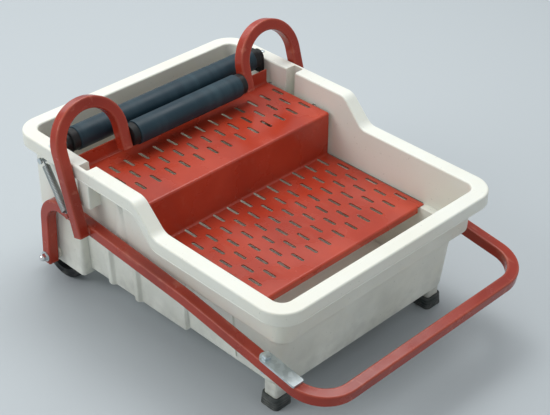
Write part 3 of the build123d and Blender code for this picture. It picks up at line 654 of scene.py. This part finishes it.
def slot_places(start, edge, half_width, first_shift):
    """Middles of staggered slots, from the first row's outer end towards an edge of the sheet."""
    way = 1 if edge > start else -1
    count = int((abs(edge - start) - SLOT_EDGE - SLOT_LENGTH) / SLOT_ROW_PITCH) + 1
    room = half_width - SLOT_EDGE - SLOT_WIDTH / 2
    places = []
    for row in range(count):
        y = start + way * (SLOT_LENGTH / 2 + row * SLOT_ROW_PITCH)
        half_step = (row + first_shift) % 2
        last = int(room / SLOT_PITCH - half_step / 2)
        for column in range(-last - half_step, last + 1):
            places.append(((column + half_step / 2) * SLOT_PITCH, y))
    return places


def ring(bm, points):
    """Closed loop of edges through flat points."""
    corners = [bm.verts.new((x, y, 0.0)) for x, y in points]
    return [bm.edges.new((a, b)) for a, b in zip(corners, corners[1:] + corners[:1])]


def slot_outline(x, y):
    """Slot with round ends, its length along the sheet."""
    radius = SLOT_WIDTH / 2
    reach = (SLOT_LENGTH - SLOT_WIDTH) / 2
    points = []
    for end in (1, -1):
        for step in range(SLOT_END_STEPS + 1):
            angle = pi * step / SLOT_END_STEPS
            points.append((x + end * radius * cos(angle), y + end * (reach + radius * sin(angle))))
    return points


def step_plate():
    """One punched sheet folded into nose, lower plate, riser, shelf and rear flange."""
    low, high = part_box("step_plate")
    half = high.x
    plate_top = low.z + NOSE_DROP
    shelf_top = plate_top + SHELF_RISE
    fold = Fold(
        [
            (low.y, low.z),
            (low.y, plate_top),
            (RISER_FACE, plate_top),
            (RISER_FACE, shelf_top),
            (high.y - SHEET, shelf_top),
            (high.y - SHEET, shelf_top + SHELF_FLANGE),
        ],
        SHEET_BEND,
    )
    bends = fold.bends()
    nose_end = bends[0][1]
    ear = nose_end - SHEET_BEND
    tab = half - NOSE_INSET
    slit = tab + NOSE_RELIEF
    bm = bmesh.new()
    edges = ring(bm, [
        (-tab, 0.0), (tab, 0.0), (tab, nose_end), (slit, nose_end), (slit, ear), (half, ear),
        (half, fold.length), (-half, fold.length), (-half, ear), (-slit, ear),
        (-slit, nose_end), (-tab, nose_end),
    ])
    riser_start = bends[1][0] + SHEET_BEND
    shelf_start = bends[2][1] - SHEET_BEND
    shelf_end = bends[3][0] + SHEET_BEND
    lower = slot_places(riser_start - LOWER_SLOTS_FROM_RISER, ear, half, 0)
    upper = slot_places(shelf_start + SHELF_SLOTS_FROM_RISER, shelf_end, half, 1)
    for x, y in lower + upper:
        edges += ring(bm, slot_outline(x, y))
    bmesh.ops.triangle_fill(bm, edges=edges, use_beauty=True)
    for start, end in bends:
        cuts = [start + (end - start) * step / BEND_STEPS for step in range(BEND_STEPS + 1)]
        for cut in [start - BEND_MARGIN, *cuts, end + BEND_MARGIN]:
            bmesh.ops.bisect_plane(
                bm, geom=bm.verts[:] + bm.edges[:] + bm.faces[:],
                plane_co=(0, cut, 0), plane_no=(0, 1, 0), dist=CUT_TOLERANCE,
            )
    for vert in bm.verts:
        x, along = vert.co.x, vert.co.y
        if abs(x) > tab + NOSE_RELIEF / 2 and along < nose_end:
            place = fold.at(nose_end) + Vector((along - nose_end, 0.0))
        else:
            place = fold.at(along)
        vert.co = (x, place.x, place.y)
    bmesh.ops.recalc_face_normals(bm, faces=bm.faces[:])
    level = [face for face in bm.faces if abs(face.normal.z) > LEVEL_FULL]
    top = max(level, key=lambda face: face.calc_center_median().z)
    if top.normal.z < 0:
        bmesh.ops.reverse_faces(bm, faces=bm.faces[:])
    piece = shown("folded_step_plate", bm, None, wet_red, "red_paint", "step_plate")
    modified(piece, "SOLIDIFY", thickness=SHEET, offset=-1.0, use_even_offset=True)
    modified(
        piece, "BEVEL", width=SHEET_EDGE, segments=SHEET_EDGE_STEPS,
        limit_method="ANGLE", angle_limit=SHEET_EDGE_ANGLE,
    )
    piece.data.set_sharp_from_angle(angle=SMOOTH_ANGLE)
    modified(piece, "WEIGHTED_NORMAL", keep_sharp=True)
    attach(piece, "tray")


# Return springs

def spring_line():
    """Middle of the right spring's wire: hook, lead, coil, lead and hook."""
    low, high = SPRING_PEG, SPRING_BOLT
    along = (high - low).normalized()
    out = along.cross(Vector((1.0, 0.0, 0.0))).normalized()
    across = out.cross(along)
    shift = out * HOOK_RADIUS
    begin = ((high - low).length - COIL_LENGTH) / 2

    def hook(centre, way):
        steps = [HOOK_TURN * step / HOOK_STEPS for step in range(HOOK_STEPS + 1)]
        turn = [centre + out * (HOOK_RADIUS * cos(a)) - way * (HOOK_RADIUS * sin(a)) for a in steps]
        tip = turn[-1] + (turn[-1] - turn[-2]).normalized() * (2 * WIRE_RADIUS)
        return turn + [tip]

    points = hook(low, along)[::-1]
    points.append(low + shift + along * (begin - COIL_LEAD))
    total = COIL_TURNS * COIL_STEPS
    for step in range(-COIL_STEPS, total + COIL_STEPS + 1):
        turn = 2 * pi * (step / COIL_STEPS)
        inside = min(max(step / total, 0.0), 1.0)
        past = max(-step, step - total, 0) / COIL_STEPS
        lead = (COIL_LEAD - WIRE_RADIUS) * past ** 2
        rise = begin + COIL_LENGTH * inside + (lead if step > 0 else -lead)
        spoke = across * cos(turn) + out * sin(turn)
        points.append(low + shift + along * rise + spoke * (COIL_RADIUS * cos(past * pi / 2)))
    points.append(low + shift + along * (begin + COIL_LENGTH + COIL_LEAD))
    return points + hook(high, -along)


def return_springs():
    """Close-wound extension springs that stretch between the tub's bolt and the side tube's peg."""
    finish = finishes["spring_steel"]
    for name, side in SIDES:
        bm = bmesh.new()
        points = [point * mirror(side) for point in spring_line()]
        skin(bm, wire_rings(points, [WIRE_RADIUS] * len(points), WIRE_SIDES), False)
        replaced = "return_spring_" + name
        piece = shown("wound_spring_" + name, bm, None, finish, "spring_steel", replaced)
        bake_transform(piece)


# Tyres and boots

def turned_rings(outline, middle):
    """Closed outline of (x, radius) points, turned about a line along X."""
    rings = []
    for angle in spokes(TURN_STEPS):
        points = [(x, radius * cos(angle), radius * sin(angle)) for x, radius in outline]
        rings.append([middle + Vector(point) for point in points])
    return rings


def groove(place, bed):
    """Section of a groove, as pairs of a place and a share of the groove's depth."""
    corners = ((-1, 0), (-bed, 1), (bed, 1), (1, 0))
    return [(place + reach * GROOVE_WIDTH / 2, depth) for reach, depth in corners]


def tyre_outline(half, radius):
    """Section of a tyre: side rings, round shoulders and grooves in the tread."""
    seat = radius - TYRE_DEPTH
    knuckle = radius - TYRE_SHOULDER
    left = [
        (-half, seat),
        (-half, seat + SIDE_RING),
        (-half + SIDE_STEP, seat + SIDE_RING + SIDE_STEP),
        (-half + SIDE_STEP, knuckle - SIDE_STEP),
    ]
    for a in quarter_arc():
        left.append((-half + TYRE_SHOULDER * (1 - cos(a)), knuckle + TYRE_SHOULDER * sin(a)))
    tread = []
    for place in TYRE_GROOVES:
        tread += [(x, radius - depth * GROOVE_DEPTH) for x, depth in groove(place, TYRE_GROOVE_BED)]
    return left + tread + [(-x, r) for x, r in left[::-1]]


def tyres():
    """Grooved tyres on the two wheels."""
    finish = finishes["tyre_rubber"]
    for name in ("left", "right"):
        replaced = "wheel_tyre_" + name
        low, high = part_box(replaced)
        outline = tyre_outline((high.x - low.x) / 2, (high.z - low.z) / 2)
        bm = bmesh.new()
        skin(bm, turned_rings(outline, (low + high) / 2), True)
        shown("grooved_tyre_" + name, bm, "wheel_" + name, finish, "tyre_rubber", replaced)


def rounded_square(middle, half, corner, z):
    """Square with round corners at one height."""
    points = []
    for quarter in range(4):
        turn = quarter * pi / 2
        reach = (half - corner) * 2 ** 0.5
        x = middle.x + reach * cos(turn + pi / 4)
        y = middle.y + reach * sin(turn + pi / 4)
        for a in quarter_arc():
            spoke = Vector((corner * cos(turn + a), corner * sin(turn + a), 0.0))
            points.append(Vector((x, y, z)) + spoke)
    return points


def boots():
    """Rubber boots on the front legs: flared, with three grooves round them and an open pocket."""
    finish = finishes["foot_rubber"]
    for name in ("left", "right"):
        replaced = "foot_boot_" + name
        low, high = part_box(replaced)
        middle = (low + high) / 2
        foot = (high.x - low.x) / 2
        levels = [(0.0, BOOT_EDGE), (BOOT_EDGE, 0.0)]
        for place in BOOT_GROOVES:
            levels += [(z, depth * BOOT_EDGE) for z, depth in groove(place, BOOT_GROOVE_BED)]
        levels += [(high.z - BOOT_EDGE, 0.0), (high.z, BOOT_EDGE)]
        rings = []
        for z, inset in levels:
            flare = BOOT_FLARE * z / high.z
            rings.append(rounded_square(middle, foot - flare - inset, BOOT_CORNER - inset, z))
        pocket = foot - BOOT_FLARE - BOOT_WALL
        for z in (high.z, BOOT_FLOOR):
            rings.append(rounded_square(middle, pocket, BOOT_CORNER - BOOT_WALL, z))
        bm = bmesh.new()
        skin(bm, rings, False)
        shown("grooved_boot_" + name, bm, "tray", finish, "foot_rubber", replaced)


# Side panels

def panel_stations():
    """Places along a side wall, rear to front: y, the rib's height, the panel's share of its height."""
    steps = shares(FLANK_STEPS)
    places = [(PANEL_REAR, 0.0, 1.0)]
    for crest in RIB_CRESTS:
        rear = crest + RIB_CREST / 2
        front = crest - RIB_CREST / 2
        places += [(rear + RIB_REAR_FLANK * (1 - s), RIB_HEIGHT * eased(s), 1.0) for s in steps]
        places += [(front - RIB_FRONT_FLANK * s, RIB_HEIGHT * eased(1 - s), 1.0) for s in steps]
    places += [(PANEL_FRONT - PANEL_STEP * s, 0.0, 1 - PANEL_FADE * eased(s)) for s in steps]
    return places


def panel_section(y, rib, share):
    """Section of a panel across the wall, as (x, z) points from its low seat to its top seat."""
    face = PANEL_FACE_FRONT + (PANEL_FACE_REAR - PANEL_FACE_FRONT) * y / PANEL_REAR + rib
    seat_low, seat_top = Vector(PANEL_SEAT_LOW), Vector(PANEL_SEAT_TOP)
    hub = Vector((face - PANEL_ROUNDING, PANEL_BOTTOM + PANEL_ROUNDING))
    edge = [hub + Vector((sin(a), -cos(a))) * PANEL_ROUNDING for a in quarter_arc()]
    top = Vector((face + PANEL_DRAFT, PANEL_TOP))
    front = [seat_low.lerp(point, share) for point in edge]
    return [seat_low] + front + [seat_top.lerp(top, share), seat_top]


def side_panels():
    """Raised panels between the wheel housings and a step in the wall, each with two soft ribs."""
    for name, side in SIDES:
        rings = []
        for y, rib, share in panel_stations():
            rings.append([Vector((side * x, y, z)) for x, z in panel_section(y, rib, share)])
        bm = bmesh.new()
        skin(bm, rings, False)
        finish = finishes["tub_plastic"]
        shown("ribbed_side_panel_" + name, bm, "tray", finish, "tub_plastic")


# Lip

def lip_height(y):
    """Height of the lip's lower edge: low in front, high behind, a slope between two round bends."""
    slope = atan2(LIP_HIGH - LIP_LOW, SLOPE_RUN)
    reach = SLOPE_RADIUS * tan(slope / 2)
    foot = y - (SLOPE_FOOT - reach)
    head = SLOPE_FOOT + SLOPE_RUN + reach - y
    if foot <= 0:
        return LIP_LOW
    if head <= 0:
        return LIP_HIGH
    bend = SLOPE_RADIUS * sin(slope)
    if foot < bend:
        return LIP_LOW + SLOPE_RADIUS - (SLOPE_RADIUS ** 2 - foot ** 2) ** 0.5
    if head < bend:
        return LIP_HIGH - SLOPE_RADIUS + (SLOPE_RADIUS ** 2 - head ** 2) ** 0.5
    return LIP_LOW + (y - SLOPE_FOOT) * tan(slope)


def lip_line():
    """Middle of the lip's bead once round the tub, as (point, outward direction) pairs."""
    half = LIP_HALF_WIDTH - LIP_BEAD_INSET - LIP_CORNER
    front = LIP_FRONT + LIP_BEAD_INSET + LIP_CORNER
    rear = LIP_REAR - LIP_BEAD - LIP_CORNER
    span = 1 + 2 * SLOPE_MARGIN
    slope = []
    for step in range(SLOPE_STEPS + 1):
        slope.append(SLOPE_FOOT + SLOPE_RUN * (span * step / SLOPE_STEPS - SLOPE_MARGIN))
    sides = {1: (-1.0, slope[::-1]), 3: (1.0, slope)}
    line = []
    for quarter, (x, y) in enumerate(((half, rear), (-half, rear), (-half, front), (half, front))):
        for share in shares(LIP_CORNER_STEPS):
            angle = pi / 2 * (quarter + share)
            out = Vector((cos(angle), sin(angle), 0.0))
            line.append((Vector((x, y, 0.0)) + out * LIP_CORNER, out))
        if quarter in sides:
            side, places = sides[quarter]
            edge = side * (half + LIP_CORNER)
            line += [(Vector((edge, place, 0.0)), Vector((side, 0.0, 0.0))) for place in places]
    return [(Vector((point.x, point.y, lip_height(point.y))), out) for point, out in line]


def lip_bead():
    """Small round bead that stiffens the lip's lower edge."""
    line = lip_line()
    rings = []
    for index, (point, out) in enumerate(line):
        way = (line[(index + 1) % len(line)][0] - line[index - 1][0]).normalized()
        up = way.cross(out).normalized()
        rings.append([point + (out * cos(a) + up * sin(a)) * LIP_BEAD for a in spokes(BEAD_SIDES)])
    bm = bmesh.new()
    skin(bm, rings, True)
    shown("lip_edge_bead", bm, "tray", finishes["tub_plastic"], "tub_plastic")


def gusset_ring(share, drop):
    """Section of a gusset at a share of its height: points of a crest between two soft flanks."""
    seat = between(GUSSET_SEATS, share)
    flank = between(GUSSET_FLANKS, share)
    reach = GUSSET_FOOT + GUSSET_SPREAD * share ** GUSSET_CURVE - drop
    z = GUSSET_LOW + (GUSSET_HIGH - GUSSET_LOW) * share - drop
    rise = []
    for s in shares(FLANK_STEPS):
        rise.append((seat + (reach - seat) * eased(s), -GUSSET_HALF - flank * (1 - s)))
    outline = rise + [(x, -y) for x, y in rise[::-1]]
    return [Vector((x, GUSSET_PLACE + y, z)) for x, y in outline]


def gussets():
    """Tapered ribs between the side walls and the lip, behind the slope of the rim."""
    sections = [gusset_ring(0.0, GUSSET_CHAMFER)]
    sections += [gusset_ring(share, 0.0) for share in shares(GUSSET_STEPS)]
    for name, side in SIDES:
        bm = bmesh.new()
        skin(bm, [[point * mirror(side) for point in section] for section in sections], False)
        shown("rim_gusset_" + name, bm, "tray", finishes["tub_plastic"], "tub_plastic")


# Weld beads

def bead_line():
    """Line of the right weld: down the gooseneck's rear edge, under its foot, up its front edge."""
    up = Vector((0.0, sin(NECK_LEAN), cos(NECK_LEAN)))
    back = Vector((0.0, cos(NECK_LEAN), -sin(NECK_LEAN))) * TUBE_HALF
    seat = NECK_FOOT - Vector((TUBE_HALF, 0.0, 0.0))
    rear, front = seat + back, seat - back
    corners = [rear + up * REAR_BEAD, rear, front, front + up * FRONT_BEAD]
    points = []
    for first, second in zip(corners, corners[1:]):
        count = int((second - first).length / BEAD_STEP)
        points += [first.lerp(second, step / count) for step in range(count)]
    return points


def weld_beads():
    """Rippled beads, painted over, where the goosenecks are welded to the side tubes."""
    line = bead_line()
    waves = [sin(2 * pi * index * BEAD_STEP / BEAD_PITCH) for index in range(len(line))]
    radii = [BEAD_RADIUS + BEAD_RIPPLE * wave for wave in waves]
    for name, side in SIDES:
        bm = bmesh.new()
        points = [point * mirror(side) for point in line]
        skin(bm, wire_rings(points, radii, BEAD_SIDES), False)
        shown("weld_bead_" + name, bm, "lever", finishes["red_paint"], "red_paint")


# Screws and bolts

def shank_outline(radius, length):
    """Half section of a shank with a chamfered tip, up to the head, as (radius, z) points."""
    return [(radius - TIP_CHAMFER, -length), (radius, -length + TIP_CHAMFER), (radius, 0.0)]


def dome_outline(radius, height):
    """Half section of a round head, from its edge towards its middle, as (radius, z) points."""
    outline = [(radius, 0.0)]
    for a in quarter_arc()[:-1]:
        rise = DOME_FOOT + (1 - DOME_FOOT) * sin(a)
        outline.append((radius * cos(a) ** DOME_FULLNESS, height * rise))
    return outline


def round_rings(outline, place):
    """Circles of points about Z for each (radius, z) of a half section."""
    rings = []
    for r, z in outline:
        rings.append([place @ Vector((r * cos(a), r * sin(a), z)) for a in spokes(HEAD_STEPS)])
    return rings


def bearing_screws():
    """Round heads with a cross recess on the rim."""
    low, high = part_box("bearing_screws")
    top = high.z - SCREW_HEIGHT
    y = (low.y + high.y) / 2
    outline = shank_outline(SCREW_SHANK, top - low.z) + dome_outline(SCREW_RADIUS, SCREW_HEIGHT)
    bm = bmesh.new()
    cross = bmesh.new()
    for x in (low.x + SCREW_RADIUS, high.x - SCREW_RADIUS):
        skin(bm, round_rings(outline, Matrix.Translation((x, y, top))), False)
        for wide, long in ((CROSS_WIDTH, CROSS_LENGTH), (CROSS_LENGTH, CROSS_WIDTH)):
            size = Matrix.Diagonal((wide, long, 2 * CROSS_DEPTH, 1.0))
            place = Matrix.Translation((x, y, high.z))
            bmesh.ops.create_cube(cross, size=1.0, matrix=place @ size)
    zinc = finishes["zinc_steel"]
    cutter = shown("cross_cutter", cross, None, finishes["chrome"], "chrome")
    piece = shown("cross_head_screws", bm, None, zinc, "zinc_steel", "bearing_screws")
    modified(
        piece, "BOOLEAN", object=cutter, operation="DIFFERENCE", solver="EXACT", use_self=True
    )
    piece.data.set_sharp_from_angle(angle=SMOOTH_ANGLE)
    bpy.data.objects.remove(cutter)
    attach(piece, "tray")


def hexagon_rings(flats, height, place):
    """Rings of a hexagon head whose upper corners are turned off to a cone."""
    land = flats / 2 * HEX_LAND
    foot, edge, flat = [], [], []
    for a in spokes(HEAD_STEPS):
        reach = flats / 2 / cos((a + pi / 6) % (pi / 3) - pi / 6)
        shoulder = height - (reach - land) * HEX_CONE
        for points, r, z in ((foot, reach, 0.0), (edge, reach, shoulder), (flat, land, height)):
            points.append(place @ Vector((r * cos(a), r * sin(a), z)))
    return [foot, edge, flat]


def catch_bolt():
    """Bolt of the catch with a turned-off hexagon head."""
    joint = joints["catch_swing"]
    axis = Vector(joint["axis"])
    turn = Vector((0.0, 0.0, 1.0)).rotation_difference(axis).to_matrix().to_4x4()
    place = Matrix.Translation(Vector(joint["pos_m"]) + axis * CATCH_LIFT) @ turn
    bm = bmesh.new()
    shank = round_rings(shank_outline(BOLT_SHANK, BOLT_LENGTH), place)
    skin(bm, shank + hexagon_rings(BOLT_FLATS, BOLT_HEAD, place), False)
    shown("hexagon_bolt", bm, "lever", finishes["zinc_steel"], "zinc_steel", "catch_bolt")


step_plate()
return_springs()
tyres()
boots()
side_panels()
lip_bead()
gussets()
weld_beads()
bearing_screws()
catch_bolt()


# Floor, light and camera

def floor_and_light():
    """Pale floor, soft sky and three large lamps."""
    bpy.ops.mesh.primitive_plane_add(size=FLOOR_SIZE)
    floor = bpy.context.object
    floor.name = "floor"
    floor.data.materials.append(Finish("pale_floor", FLOOR_COLOUR, FLOOR_ROUGHNESS).material)
    world = bpy.data.worlds.new("soft_sky")
    bpy.context.scene.world = world
    world.use_nodes = True
    sky = world.node_tree.nodes["Background"]
    sky.inputs["Color"].default_value = (*SKY_COLOUR, 1)
    sky.inputs["Strength"].default_value = SKY_STRENGTH
    for name, (place, size, power) in LAMPS.items():
        lamp = bpy.data.objects.new(name, bpy.data.lights.new(name, "AREA"))
        lamp.data.size = size
        lamp.data.energy = power
        lamp.location = place
        aim = Vector(LAMP_TARGET) - Vector(place)
        lamp.rotation_euler = aim.to_track_quat("-Z", "Y").to_euler()
        bpy.context.scene.collection.objects.link(lamp)


def photo_camera():
    """The photograph's camera."""
    camera = bpy.data.objects.new("camera", bpy.data.cameras.new("camera"))
    camera.data.lens = CAMERA_LENS
    camera.data.sensor_width = SENSOR_WIDTH
    ahead = Vector((
        sin(CAMERA_YAW) * cos(CAMERA_PITCH),
        cos(CAMERA_YAW) * cos(CAMERA_PITCH),
        -sin(CAMERA_PITCH),
    ))
    level = Vector((cos(CAMERA_YAW), -sin(CAMERA_YAW), 0.0))
    over = level.cross(ahead)
    right = level * cos(CAMERA_ROLL) + over * sin(CAMERA_ROLL)
    up = over * cos(CAMERA_ROLL) - level * sin(CAMERA_ROLL)
    turn = Matrix((right, up, -ahead)).transposed().to_4x4()
    camera.matrix_world = Matrix.Translation(CAMERA_PLACE) @ turn
    bpy.context.scene.collection.objects.link(camera)
    bpy.context.scene.camera = camera


floor_and_light()
photo_camera()
bpy.context.scene.view_settings.view_transform = "Standard"
